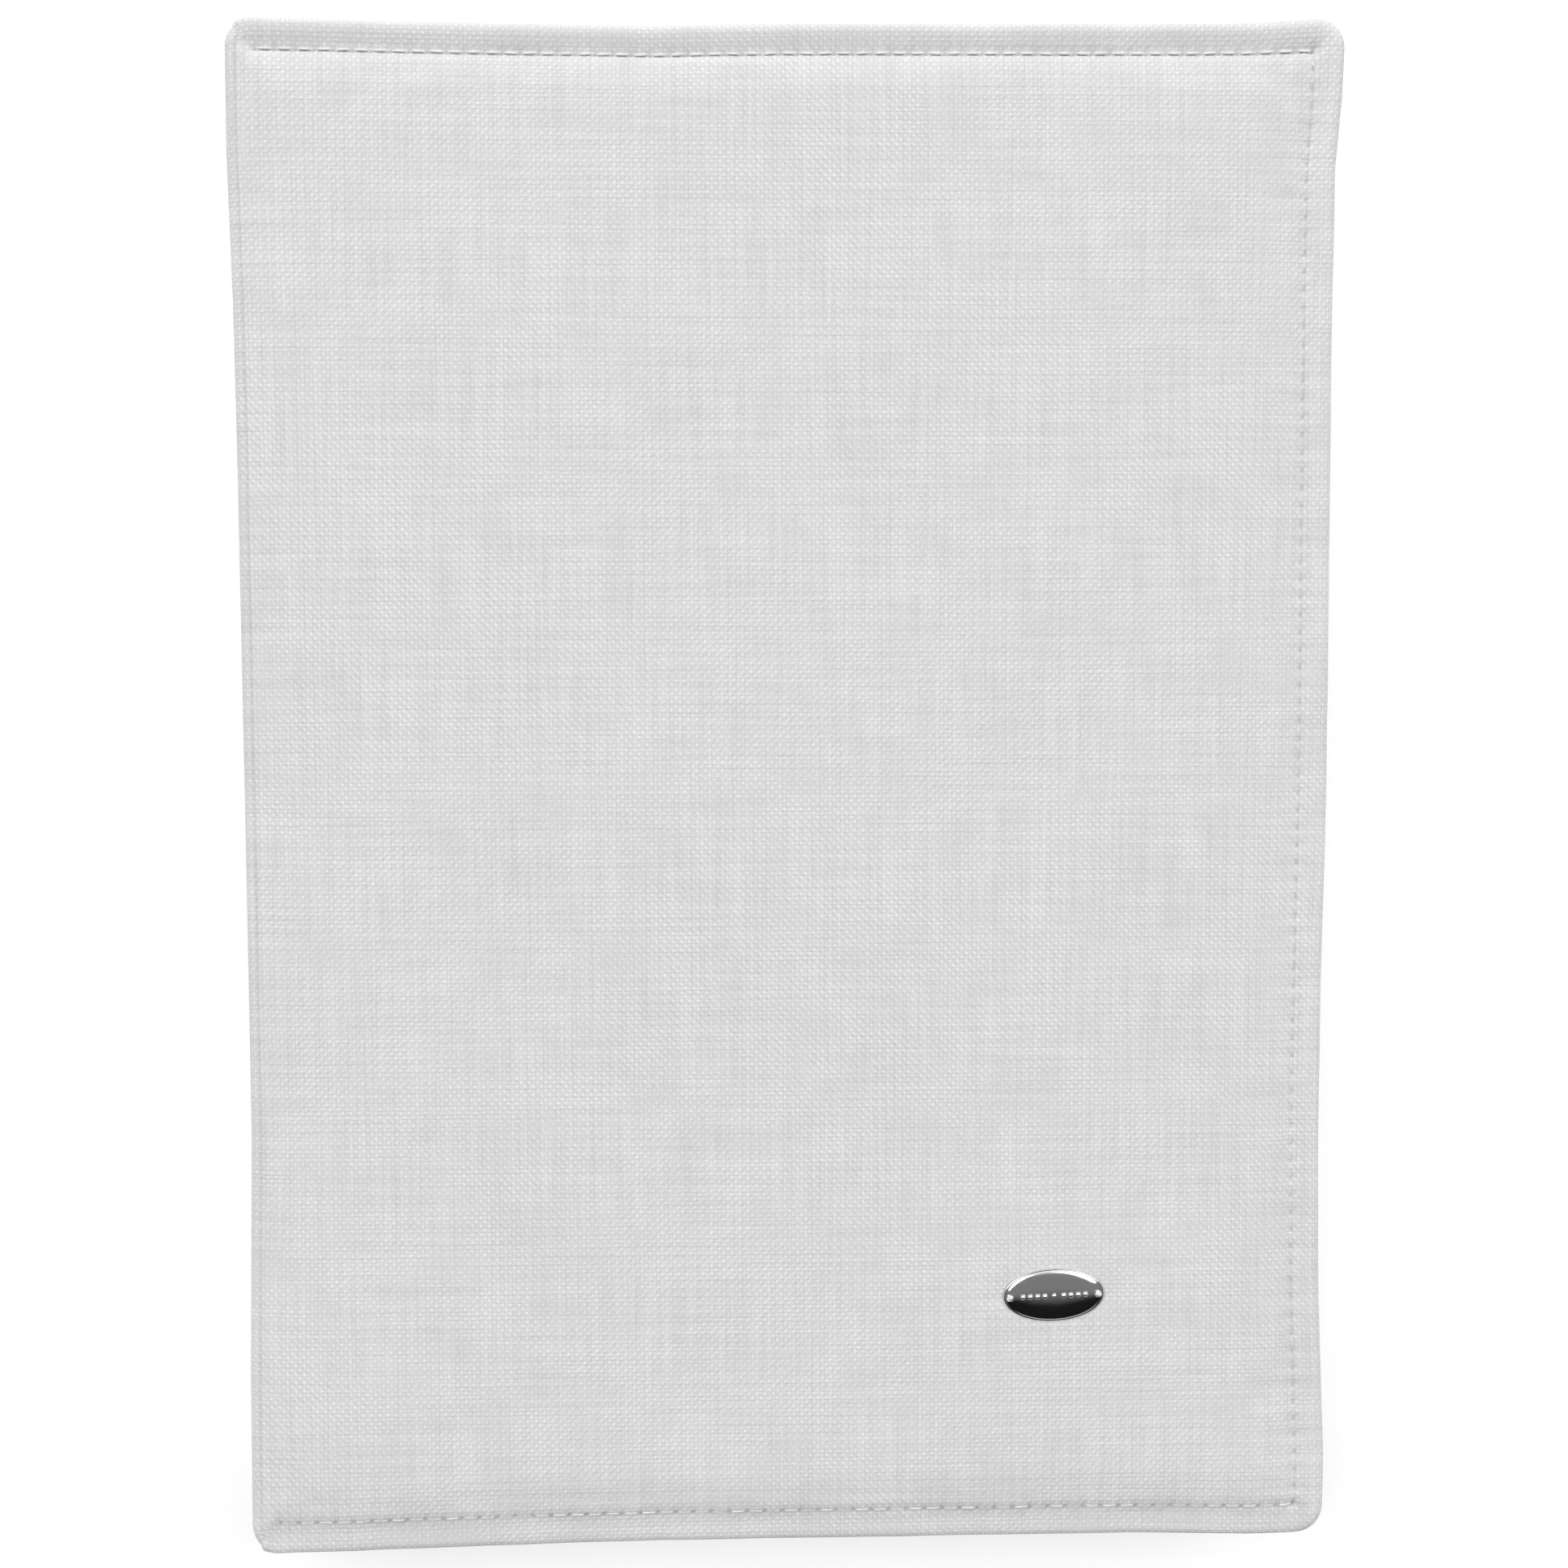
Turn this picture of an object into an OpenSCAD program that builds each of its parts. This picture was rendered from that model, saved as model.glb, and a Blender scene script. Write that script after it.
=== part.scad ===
// Prayer book: a sewn, case-bound book of A5 size in a slip-on padded linen cover.
// It lies closed on its back cover: +X is the fore-edge, -X the spine, +Y the head, +Z up.
// The origin is the middle of the underside. All sizes are in millimetres.

/* [Linen cover] */
// Width of the closed cover, from the spine to the fore-edge
cover_w = 159; // [150:0.5:170]
// Height of the cover, from head to tail
cover_h = 223; // [218:0.5:235]
// Distance of the top stitching from the edge at head, tail and fore-edge
stitch_margin = 4.6; // [4:0.1:5]
// Distance of the hinge stitching from the outside of the spine
hinge_margin = 1.5; // [1.2:0.1:2]
// Corner radius at the fore-edge
fore_corner_r = 4.5; // [2:0.5:8]
// Corner radius at the spine
spine_corner_r = 2; // [1:0.5:4]
// Thickness of the outer linen
linen_t = 0.5; // [0.4:0.05:0.7]
// Thickness of the pressed wadding
wadding_t = 1.6; // [1:0.1:3]
// Thickness of the cotton lining
lining_t = 0.4; // [0.3:0.05:0.5]
// Width of the pocket flap that holds each board
pocket_w = 60; // [40:1:75]
// Diameter of the sewing thread of the top stitching
thread_d = 0.4; // [0.3:0.05:0.5]

/* [Boards and case] */
// Height of the case boards
board_h = 210; // [200:0.5:211]
// Thickness of the greyboard
board_t = 2; // [1.5:0.1:3]
// Thickness of the cloth that covers the boards
case_cloth_t = 0.3; // [0.2:0.05:0.4]
// Thickness of the paper pasted inside each board
pastedown_t = 0.2; // [0.15:0.05:0.3]

/* [Text block] */
// Height of the pages
page_h = 204; // [190:0.5:206]
// Thickness of one folded section of eight leaves
section_t = 1; // [0.8:0.05:1.4]
// Thickness of a flyleaf
flyleaf_t = 0.3; // [0.2:0.05:0.5]
// Room between leaves that turn on their own
leaf_gap = 0.05; // [0.03:0.01:0.1]
// Room between the text block and each cover
block_gap = 0.25; // [0.2:0.05:0.5]

/* [Name plate] */
// Length of the oval plate
plate_l = 15.1; // [12:0.1:18]
// Width of the oval plate
plate_w = 7.9; // [6:0.1:9]
// Thickness of the plate at its middle
plate_t = 0.9; // [0.6:0.1:1.4]
// Distance of the plate's middle from the centre line, towards the fore-edge
plate_x = 38.6; // [20:0.1:60]
// Distance of the plate's middle from the tail edge
plate_from_tail = 37.6; // [20:0.1:60]
// Turn of the plate
plate_turn = 2.4; // [-5:0.1:5]
// Distance between the plate's two holes
plate_hole_span = 13.1; // [11:0.1:13.2]
// Radius of each hole
plate_hole_r = 0.55; // [0.4:0.05:0.7]

/* [Hidden] */
$fn = 48;
sections = 10;
turning_sections = 6; // the first six sections turn, the others stay at the spine

// Layers of one cover, counted inwards from its outer face
panel_t = linen_t + wadding_t + lining_t;
case_t = case_cloth_t + board_t;
cover_t = panel_t + case_t + pastedown_t + linen_t;

// Heights of the closed book
section_pitch = section_t + leaf_gap;
block_t = 2 * flyleaf_t + leaf_gap + sections * section_pitch;
block_z = cover_t + block_gap;
book_t = 2 * cover_t + 2 * block_gap + block_t;
sections_z = block_z + flyleaf_t + leaf_gap;

// Thicknesses of the parts of the spine
thread_room = 0.6; // depth taken by the sewing thread
mull_t = 0.25;
spine_paper_t = 0.25;
spine_board_t = 0.7;
spine_cloth_t = 0.25;
slip = 0.05; // room between parts that slide on each other

// Margins of the inner parts
hinge_stitch_dx = 0.8; // the stitching at the hinge, from the line that the cover turns about
mull_margin = 15; // from the head and tail of the pages to the end of the mull
spine_paper_margin = 4;
spine_lining_margin = 1;
paste_spine_margin = 1; // bare strip of case cloth round the pastedown
paste_fore_margin = 2.5;
paste_end_overlap = 0.5;
hem_w = 6; // width of the folded hem of the pocket flap
hem_end_margin = 2;

// Outline across the book
half_w = cover_w / 2;
half_h = cover_h / 2;
hinge_x = -half_w + hinge_margin; // the line that each cover turns about
panel_x0 = hinge_x + 0.5; // the cover's own layers start just past that line
joint_w = 6; // groove beside the spine that lets the board swing
board_x0 = hinge_x + joint_w;
border_w = 6; // soft border of the cover outside the board
board_x1 = half_w - border_w;
pocket_x0 = half_w - pocket_w;
spine_x = hinge_x + 1.7; // back edge of the folded sections
square_w = 3.5; // how far the board stands out past the pages
fore_x = board_x1 - square_w;
bend_w = 5; // the paper next to the fold, which bends when a section turns
fold_w = 3; // the part of that paper that stays in the sewn spine
fold_edge_x = spine_x + fold_w;
leaf_x0 = spine_x + bend_w;
pocket_wall = linen_t;

// Depths of the spine layers, counted outwards from the back edge of the folded sections
spine_board_x = thread_room + mull_t + spine_paper_t + slip;
spine_cloth_x = spine_board_x + spine_board_t;
spine_lining_x = spine_cloth_x + spine_cloth_t + slip;
spine_linen_x = spine_lining_x + lining_t + slip;

edge_wall = linen_t;
overlap = 0.1; // depth that cutting shapes run past a face

// A rectangle with its own corner radius at the spine side and at the fore-edge side
module round_rect(x0, x1, hh, r0, r1) {
    translate([x0 + r0, -hh]) square([x1 - r1 - x0 - r0, 2 * hh]);
    translate([x0, -hh + r0]) square([r0 + overlap, 2 * (hh - r0)]);
    translate([x1 - r1 - overlap, -hh + r1]) square([r1 + overlap, 2 * (hh - r1)]);
    for (s = [-1, 1]) {
        translate([x0 + r0, s * (hh - r0)]) circle(r0);
        translate([x1 - r1, s * (hh - r1)]) circle(r1);
    }
}

// A flat piece that starts a given depth inside the outer face of the front cover
module sheet_at(depth, thickness, x0, x1, hh) {
    translate([x0, -hh, book_t - depth - thickness]) cube([x1 - x0, 2 * hh, thickness]);
}

// Turns a piece of the front cover into the matching piece of the back cover
module at_back() {
    translate([0, 0, book_t]) mirror([0, 0, 1]) children();
}

// The line of the top stitching on three sides and along the hinge
module stitch_line(width, depth) {
    x0 = hinge_x + hinge_stitch_dx;
    x1 = half_w - stitch_margin;
    yy = half_h - stitch_margin;
    translate([0, 0, book_t - depth]) linear_extrude(depth)
        difference() {
            translate([x0 - width / 2, -yy - width / 2]) square([x1 - x0 + width, 2 * yy + width]);
            translate([x0 + width / 2, -yy + width / 2]) square([x1 - x0 - width, 2 * yy - width]);
        }
}

// Outer cloth of one cover: a shallow tray that holds the wadding, open at the hinge
module outer_linen() {
    color("#e3e3e2") difference() {
        translate([0, 0, book_t - panel_t]) linear_extrude(panel_t)
            round_rect(panel_x0, half_w, half_h, spine_corner_r, fore_corner_r);
        translate([0, 0, book_t - panel_t - overlap]) linear_extrude(panel_t - linen_t + overlap)
            round_rect(panel_x0 - spine_corner_r - 1, half_w - edge_wall, half_h - edge_wall,
                       spine_corner_r, fore_corner_r - edge_wall);
        stitch_line(thread_d, thread_d);
    }
}

// A layer that fills the tray of the outer cloth
module tray_layer(depth, thickness) {
    translate([0, 0, book_t - depth - thickness]) linear_extrude(thickness)
        round_rect(panel_x0, half_w - edge_wall, half_h - edge_wall,
                   spine_corner_r - edge_wall, fore_corner_r - edge_wall);
}

module wadding() {
    color("#f4f4f1") tray_layer(linen_t, wadding_t);
}

module lining() {
    color("#efefee") tray_layer(linen_t + wadding_t, lining_t);
}

// Thread of the top stitching, let into the outer cloth
module topstitch() {
    color("white") stitch_line(thread_d, thread_d);
}

// Pocket on the inside of a cover: the flap, the walls beside the board and the sewn flange
module pocket_flap() {
    wall_x = board_x1 + case_cloth_t;
    wall_y = board_h / 2 + case_cloth_t;
    flange_y = half_h - edge_wall;
    color("#dfdfde") difference() {
        union() {
            sheet_at(panel_t, case_t + pastedown_t + linen_t, pocket_x0, wall_x + pocket_wall,
                     wall_y + pocket_wall);
            intersection() {
                sheet_at(panel_t, linen_t, pocket_x0, half_w, flange_y);
                tray_layer(panel_t, linen_t);
            }
        }
        sheet_at(panel_t - overlap, case_t + pastedown_t + overlap, pocket_x0 - 1, wall_x, wall_y);
    }
}

// Thread along the free edge of the pocket flap
module pocket_hem_stitch() {
    hem_x = pocket_x0 + hem_w;
    color("white") sheet_at(cover_t, thread_d / 2, hem_x, hem_x + thread_d,
                                 board_h / 2 - hem_end_margin);
}

// Cloth over the board, turned over its edges
module case_cloth() {
    color("#d9d4c8") difference() {
        sheet_at(panel_t, case_t, board_x0 - case_cloth_t, board_x1 + case_cloth_t,
                 board_h / 2 + case_cloth_t);
        sheet_at(panel_t + case_cloth_t, board_t + overlap, board_x0, board_x1, board_h / 2);
    }
}

module board() {
    color("#8f8a80") sheet_at(panel_t + case_cloth_t, board_t, board_x0, board_x1, board_h / 2);
}

module pastedown() {
    color("#f3efe4") sheet_at(panel_t + case_t, pastedown_t, board_x0 + paste_spine_margin,
                              board_x1 - paste_fore_margin, page_h / 2 + paste_end_overlap);
}

// Places the plate's own shapes on the outer cloth of the front cover
module on_plate() {
    translate([plate_x, -half_h + plate_from_tail, book_t]) rotate([0, 0, plate_turn]) children();
}

// Outline of the plate: two long arcs, with short round ends
module plate_outline() {
    arc_r = 10;
    intersection() {
        translate([0, plate_w / 2 - arc_r]) circle(arc_r);
        translate([0, arc_r - plate_w / 2]) circle(arc_r);
        circle(plate_l / 2);
    }
}

// Domed oval plate with a sewing hole near each end
module name_plate() {
    dome_r = 45;
    color("silver") on_plate() difference() {
        intersection() {
            linear_extrude(plate_t) plate_outline();
            translate([0, 0, plate_t - dome_r]) sphere(dome_r, $fn = 96);
        }
        for (s = [-1, 1]) translate([s * plate_hole_span / 2, 0, -overlap])
            cylinder(h = plate_t + 2 * overlap, r = plate_hole_r);
    }
}

// Two thread ties that hold the plate, each a post with a small round knot
module name_plate_ties() {
    post_r = plate_hole_r - 0.05;
    color("white") on_plate() for (s = [-1, 1]) translate([s * plate_hole_span / 2, 0, 0]) {
        cylinder(h = plate_t, r = post_r);
        translate([0, 0, plate_t - 0.1]) sphere(post_r);
    }
}

// A layer of the spine, counted outwards from the back of the folded sections
module spine_layer(offset, thickness, hh) {
    translate([spine_x - offset - thickness, -hh, block_z]) cube([thickness, 2 * hh, block_t]);
}

module spine_mull() {
    color("#e8e2cf") spine_layer(thread_room, mull_t, page_h / 2 - mull_margin);
}

module spine_lining_paper() {
    color("#c9a877") spine_layer(thread_room + mull_t, spine_paper_t,
                                 page_h / 2 - spine_paper_margin);
}

module spine_board() {
    color("#8f8a80") spine_layer(spine_board_x, spine_board_t, board_h / 2);
}

module spine_case_cloth() {
    color("#d9d4c8") spine_layer(spine_cloth_x, spine_cloth_t, board_h / 2);
}

module spine_lining() {
    color("#efefee") spine_layer(spine_lining_x, lining_t, half_h - spine_lining_margin);
}

module spine_outer_linen() {
    color("#e3e3e2") spine_layer(spine_linen_x, half_w + spine_x - spine_linen_x, half_h);
}

// Cloth that bends round the edge of the spine to meet the outer cloth of a cover
module hinge_cloth() {
    bend_r = panel_x0 + half_w;
    block_top = block_z + block_t;
    color("#e3e3e2") translate([panel_x0, half_h, 0]) rotate([90, 0, 0]) linear_extrude(cover_h)
        difference() {
            union() {
                translate([-bend_r, block_top]) square([bend_r, book_t - bend_r - block_top]);
                translate([0, book_t - bend_r]) circle(bend_r);
            }
            translate([-bend_r + linen_t, block_top - overlap])
                square([bend_r, book_t - bend_r - block_top + overlap]);
            translate([0, book_t - bend_r]) circle(bend_r - linen_t);
            translate([0, block_top - bend_r]) square([2 * bend_r, book_t]);
            translate([-bend_r + linen_t, block_top - bend_r]) square([bend_r, bend_r]);
        }
}

// Linen threads across the backs of the sections, at stations along the spine
module sewing_thread() {
    stations = 6;
    end_margin = 15; // from the head and tail of the pages to the first thread
    station_pitch = (page_h - 2 * end_margin) / (stations - 1);
    thread_r = 0.28;
    color("#f5efdc") for (i = [0 : stations - 1])
        translate([spine_x - thread_room / 2, (i - (stations - 1) / 2) * station_pitch, block_z])
            cylinder(h = block_t, r = thread_r);
}

// Rounded band sewn over the end of the spine at the head or the tail
module end_band(side) {
    band_r = 0.9;
    band_inset = 0.6; // from the back of the sections to the middle of the band
    translate([spine_x + band_inset, side * (page_h / 2 + band_r), block_z])
        cylinder(h = block_t, r = band_r);
}

module head_band() {
    color("#f2ead6") end_band(1);
}

module tail_band() {
    color("#f2ead6") end_band(-1);
}

// A flat pile of leaves between two heights, from a given distance behind the fore-edge
module leaves(x0, x1, z, thickness) {
    translate([x0, -page_h / 2, z]) cube([x1 - x0, page_h, thickness]);
}

// Underside of section number i, counted from the front of the book
function section_z(i) = sections_z + (sections - i) * section_pitch;

// A section that turns starts where its paper has come out of the bend at the spine
module section(i) {
    turns = i <= turning_sections;
    color("#f3efe4") leaves(turns ? leaf_x0 : spine_x, fore_x, section_z(i), section_t);
}

// Sewn folds of the sections that turn, one strip for each
module section_folds() {
    color("#f3efe4") for (i = [1 : turning_sections])
        leaves(spine_x, fold_edge_x, section_z(i), section_t);
}

module front_flyleaf() {
    color("#f3efe4") leaves(leaf_x0, fore_x, section_z(0), flyleaf_t);
}

module back_flyleaf() {
    color("#f3efe4") leaves(spine_x, fore_x, block_z, flyleaf_t);
}

outer_linen();  // front_outer_linen
wadding();  // front_wadding
lining();  // front_lining
pocket_flap();  // front_pocket_flap
topstitch();  // front_topstitch
pocket_hem_stitch();  // front_pocket_hem_stitch
board();  // front_board
case_cloth();  // front_case_cloth
pastedown();  // front_pastedown
name_plate();
name_plate_ties();
at_back() outer_linen();  // back_outer_linen
at_back() wadding();  // back_wadding
at_back() lining();  // back_lining
at_back() pocket_flap();  // back_pocket_flap
at_back() topstitch();  // back_topstitch
at_back() pocket_hem_stitch();  // back_pocket_hem_stitch
at_back() board();  // back_board
at_back() case_cloth();  // back_case_cloth
at_back() pastedown();  // back_pastedown
spine_outer_linen();
spine_lining();
spine_case_cloth();
spine_board();
spine_lining_paper();
spine_mull();
sewing_thread();
section_folds();
hinge_cloth();  // front_hinge_cloth
at_back() hinge_cloth();  // back_hinge_cloth
head_band();
tail_band();
front_flyleaf();
back_flyleaf();
section(1);  // section_01
section(2);  // section_02
section(3);  // section_03
section(4);  // section_04
section(5);  // section_05
section(6);  // section_06
section(7);  // section_07
section(8);  // section_08
section(9);  // section_09
section(10);  // section_10
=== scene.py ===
import math

import bmesh
import bpy
import numpy as np
from mathutils import Matrix, Vector


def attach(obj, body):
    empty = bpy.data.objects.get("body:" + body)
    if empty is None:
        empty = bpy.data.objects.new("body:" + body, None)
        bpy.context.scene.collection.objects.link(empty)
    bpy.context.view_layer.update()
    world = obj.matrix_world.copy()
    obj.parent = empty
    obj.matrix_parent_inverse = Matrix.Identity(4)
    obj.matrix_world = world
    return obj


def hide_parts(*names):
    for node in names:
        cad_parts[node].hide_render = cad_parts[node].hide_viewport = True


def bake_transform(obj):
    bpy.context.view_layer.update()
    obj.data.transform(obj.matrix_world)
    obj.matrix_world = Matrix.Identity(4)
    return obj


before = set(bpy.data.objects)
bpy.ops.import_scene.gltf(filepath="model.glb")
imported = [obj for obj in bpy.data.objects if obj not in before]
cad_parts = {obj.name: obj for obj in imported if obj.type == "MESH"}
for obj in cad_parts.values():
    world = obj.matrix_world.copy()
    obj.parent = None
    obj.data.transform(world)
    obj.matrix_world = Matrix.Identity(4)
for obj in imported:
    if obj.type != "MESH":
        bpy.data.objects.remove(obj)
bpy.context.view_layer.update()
mm = 0.001

# Sizes shared by the pieces, in millimetres
book = {
    "thick": 22.65,
    "blockLow": 5.75,
    "blockHigh": 16.90,
    "hingeZ": 19.9,
    "bendStart": -79.6,
    "bendEnd": -75.5,
    "spineFold": -76.3,
    "foreEdge": 70.0,
    "pageHalf": 102.0,
}


# Small helpers

def linear(hexColour):
    parts = [int(hexColour[i:i + 2], 16) / 255 for i in (1, 3, 5)]
    return [c / 12.92 if c <= 0.04045 else ((c + 0.055) / 1.055) ** 2.4 for c in parts] + [1.0]


def smooth(t):
    t = np.clip(t, 0, 1)
    return t * t * (3 - 2 * t)


def readPoints(mesh):
    co = np.zeros(len(mesh.vertices) * 3, np.float32)
    mesh.vertices.foreach_get("co", co)
    return co.reshape(-1, 3).astype(float)


def writePoints(mesh, co):
    mesh.vertices.foreach_set("co", np.asarray(co, np.float32).ravel())
    mesh.update()


def addObject(name, bm, materials, shadeSmooth=True):
    mesh = bpy.data.meshes.new(name)
    bm.to_mesh(mesh)
    bm.free()
    obj = bpy.data.objects.new(name, mesh)
    bpy.context.scene.collection.objects.link(obj)
    for material in materials:
        mesh.materials.append(material)
    mesh.shade_smooth()
    if not shadeSmooth:
        mesh.set_sharp_from_angle(angle=math.radians(50))
    return obj


def flatGrid(uRange, vRange, uCells, vCells):
    # a regular grid in flat cloth coordinates, in millimetres
    bm = bmesh.new()
    bmesh.ops.create_grid(bm, x_segments=uCells, y_segments=vCells, size=0.5)
    bmesh.ops.translate(bm, verts=bm.verts, vec=(0.5, 0.5, 0))
    bmesh.ops.scale(bm, verts=bm.verts, vec=(uRange[1] - uRange[0], vRange[1] - vRange[0], 1))
    bmesh.ops.translate(bm, verts=bm.verts, vec=(uRange[0], vRange[0], 0))
    return bm


def layUv(bm, name="cloth"):
    # the flat shape of the cloth, in metres, so that the weave follows every fold
    layer = bm.loops.layers.uv.new(name)
    for face in bm.faces:
        for loop in face.loops:
            loop[layer].uv = (loop.vert.co.x * mm, loop.vert.co.y * mm)


def mirrorToBack(obj):
    # the matching piece of the back cover, in the row frame
    co = readPoints(obj.data)
    co[:, 2] = book["thick"] * mm - co[:, 2]
    writePoints(obj.data, co)
    obj.data.flip_normals()


def place(obj, body, *nodes, slot=None):
    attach(obj, body)
    finishPiece(nodes)


def bendOver(obj, nodes=()):
    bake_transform(obj)
    finishPiece(nodes)


def finishPiece(nodes):
    if nodes:
        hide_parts(*nodes)


# Materials

def addNode(tree, kind, inputs=None, **settings):
    # adds a node, sets it, links or fills its inputs, and gives back its first output
    node = tree.nodes.new("ShaderNode" + kind)
    for key, value in settings.items():
        setattr(node, key, value)
    for key, value in (inputs or {}).items():
        if isinstance(value, bpy.types.NodeSocket):
            tree.links.new(value, node.inputs[key])
        else:
            node.inputs[key].default_value = value
    return node.outputs[0] if len(node.outputs) else None


def newMaterial(name):
    material = bpy.data.materials.new(name)
    material.use_nodes = True
    tree = material.node_tree
    tree.nodes.clear()
    surface = addNode(tree, "BsdfPrincipled")
    addNode(tree, "OutputMaterial", {"Surface": surface})
    return material, tree, surface.node


def wovenCloth(look):
    # plain weave: bumps at every crossing with painted shade in the gaps between threads, threads that
    # vary in thickness, faint mottling
    material, tree, shader = newMaterial(look["name"])
    uv = addNode(tree, "UVMap", uv_map="cloth")
    wander = addNode(tree, "TexNoise", {"Vector": uv, "Scale": 520, "Detail": 3})
    wander = addNode(tree, "Math", {0: wander, 1: 0.5}, operation="SUBTRACT")
    wander = addNode(tree, "Math", {0: wander, 1: look["wander"] * mm}, operation="MULTIPLY")
    across = addNode(tree, "SeparateXYZ", {0: uv}).node.outputs
    turns, waves = [], []
    for axis, operation in enumerate(("ADD", "SUBTRACT")):  # the threads of each direction
        spot = addNode(tree, "Math", {0: across[axis], 1: wander}, operation=operation)
        perMetre = math.pi / (look["pitch"][axis] * mm)
        turn = addNode(tree, "Math", {0: spot, 1: perMetre}, operation="MULTIPLY")
        swing = addNode(tree, "Math", {0: turn}, operation="SINE")
        turns.append(turn)
        waves.append(addNode(tree, "Math", {0: swing}, operation="ABSOLUTE"))
    crossing = addNode(tree, "Math", {0: waves[0], 1: waves[1]}, operation="MULTIPLY")
    crossing = addNode(tree, "Math", {0: crossing, 1: 0.45}, operation="POWER")

    # the crossings that stand up line up one way in one place and the other way in the next
    fall = addNode(tree, "Math", {0: turns[0], 1: turns[1]}, operation="SUBTRACT")
    fall = addNode(tree, "Math", {0: fall}, operation="COSINE")
    climb = addNode(tree, "Math", {0: turns[0], 1: turns[1]}, operation="ADD")
    climb = addNode(tree, "Math", {0: climb}, operation="COSINE")
    climb = addNode(tree, "Math", {0: climb, 1: -1}, operation="MULTIPLY")
    lean = addNode(tree, "TexNoise", {"Vector": uv, "Scale": 17, "Detail": 1})
    lean = addNode(tree, "MapRange", {0: lean, 1: 0.42, 2: 0.58})
    over = addNode(tree, "Mix", {0: lean, 2: fall, 3: climb})
    over = addNode(tree, "MapRange", {0: over, 1: -1, 2: 1, 3: look["plain"], 4: 1})
    patches = addNode(tree, "TexNoise", {"Vector": uv, "Scale": 150, "Detail": 3})
    patches = addNode(tree, "MapRange", {0: patches, 1: 0.35, 2: 0.65, 3: 0.65, 4: 1.15})
    height = addNode(tree, "Math", {0: crossing, 1: over}, operation="MULTIPLY")
    height = addNode(tree, "Math", {0: height, 1: patches}, operation="MULTIPLY")

    # thick and thin places along the threads
    streaks = []
    for stretch in ((1500, 45, 1), (45, 1500, 1)):
        along = addNode(tree, "Mapping", {"Vector": uv, "Scale": stretch})
        inputs = {"Vector": along, "Scale": 1, "Detail": 3, "Roughness": 0.6}
        streaks.append(addNode(tree, "TexNoise", inputs))
    streaks = addNode(tree, "Math", {0: streaks[0], 1: streaks[1]}, operation="ADD")
    clouds = addNode(tree, "TexNoise", {"Vector": uv, "Scale": 38, "Detail": 4, "Roughness": 0.55})
    fuzz = addNode(tree, "TexNoise", {"Vector": uv, "Scale": 2600, "Detail": 2})

    tone = 0.5  # each pattern moves the tone up and down about its own mean value
    # the weave height darkens the gaps between threads and lightens the crossings: painted shade and
    # light, besides the bump
    for pattern, middle, amount in ((streaks, 1.0, "streaks"), (height, 0.36, "weave"),
                                    (clouds, 0.5, "clouds"), (fuzz, 0.5, "fuzz")):
        part = addNode(tree, "Math", {0: pattern, 1: middle}, operation="SUBTRACT")
        tone = addNode(tree, "Math", {0: part, 1: look[amount], 2: tone}, operation="MULTIPLY_ADD")
    colours = {0: tone, 6: linear(look["shade"]), 7: linear(look["light"])}
    colour = addNode(tree, "Mix", colours, data_type="RGBA").node.outputs[2]
    if look.get("seam"):
        # painted shade: needle holes and the line of the seam are darkened in the colour, as little light
        # gets in there
        seam = addNode(tree, "Attribute", attribute_name="seam").node.outputs["Fac"]
        line = addNode(tree, "MapRange", {0: seam, 1: 0.42, 2: 0.62, 3: 0, 4: 0.30})
        hole = addNode(tree, "MapRange", {0: seam, 1: 0.74, 2: 0.97})
        dark = addNode(tree, "Math", {0: line, 1: hole}, operation="MAXIMUM")
        colours = {0: dark, 6: colour, 7: linear(look["seam"])}
        colour = addNode(tree, "Mix", colours, data_type="RGBA").node.outputs[2]
    relief = addNode(tree, "Math", {0: streaks, 1: 0.8, 2: height}, operation="MULTIPLY_ADD")
    relief = addNode(tree, "Math", {0: fuzz, 1: 0.35, 2: relief}, operation="MULTIPLY_ADD")
    bump = addNode(tree, "Bump", {"Strength": look["bump"], "Distance": 0.12 * mm, "Height": relief})
    shader.inputs["Base Color"].default_value = linear(look["light"])
    tree.links.new(colour, shader.inputs["Base Color"])
    tree.links.new(bump, shader.inputs["Normal"])
    shader.inputs["Roughness"].default_value = look["roughness"]
    shader.inputs["Sheen Weight"].default_value = look["sheen"]
    shader.inputs["Sheen Roughness"].default_value = 0.6
    shader.inputs["Specular IOR Level"].default_value = 0.25
    return material


def fibrous(look):
    # paper, board and thread: soft fibres, small colour changes, a matt surface
    material, tree, shader = newMaterial(look["name"])
    spot = addNode(tree, "TexCoord").node.outputs["Object"]
    along = addNode(tree, "Mapping", {"Vector": spot, "Scale": look["fibre"]})
    fibres = addNode(tree, "TexNoise", {"Vector": along, "Scale": 1, "Detail": 5, "Roughness": 0.65})
    blotches = addNode(tree, "TexNoise", {"Vector": spot, "Scale": look["blotch"], "Detail": 3})
    tone = addNode(tree, "Math", {0: fibres, 1: blotches}, operation="ADD")
    tone = addNode(tree, "MapRange", {0: tone, 1: 0.7, 2: 1.3})
    colours = {0: tone, 6: linear(look["shade"]), 7: linear(look["light"])}
    colour = addNode(tree, "Mix", colours, data_type="RGBA").node.outputs[2]
    bump = addNode(tree, "Bump", {"Strength": look["bump"], "Distance": 0.1 * mm, "Height": fibres})
    tree.links.new(colour, shader.inputs["Base Color"])
    tree.links.new(bump, shader.inputs["Normal"])
    shader.inputs["Roughness"].default_value = look["roughness"]
    shader.inputs["Sheen Weight"].default_value = look.get("sheen", 0.0)
    shader.inputs["Specular IOR Level"].default_value = 0.3
    return material


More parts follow.
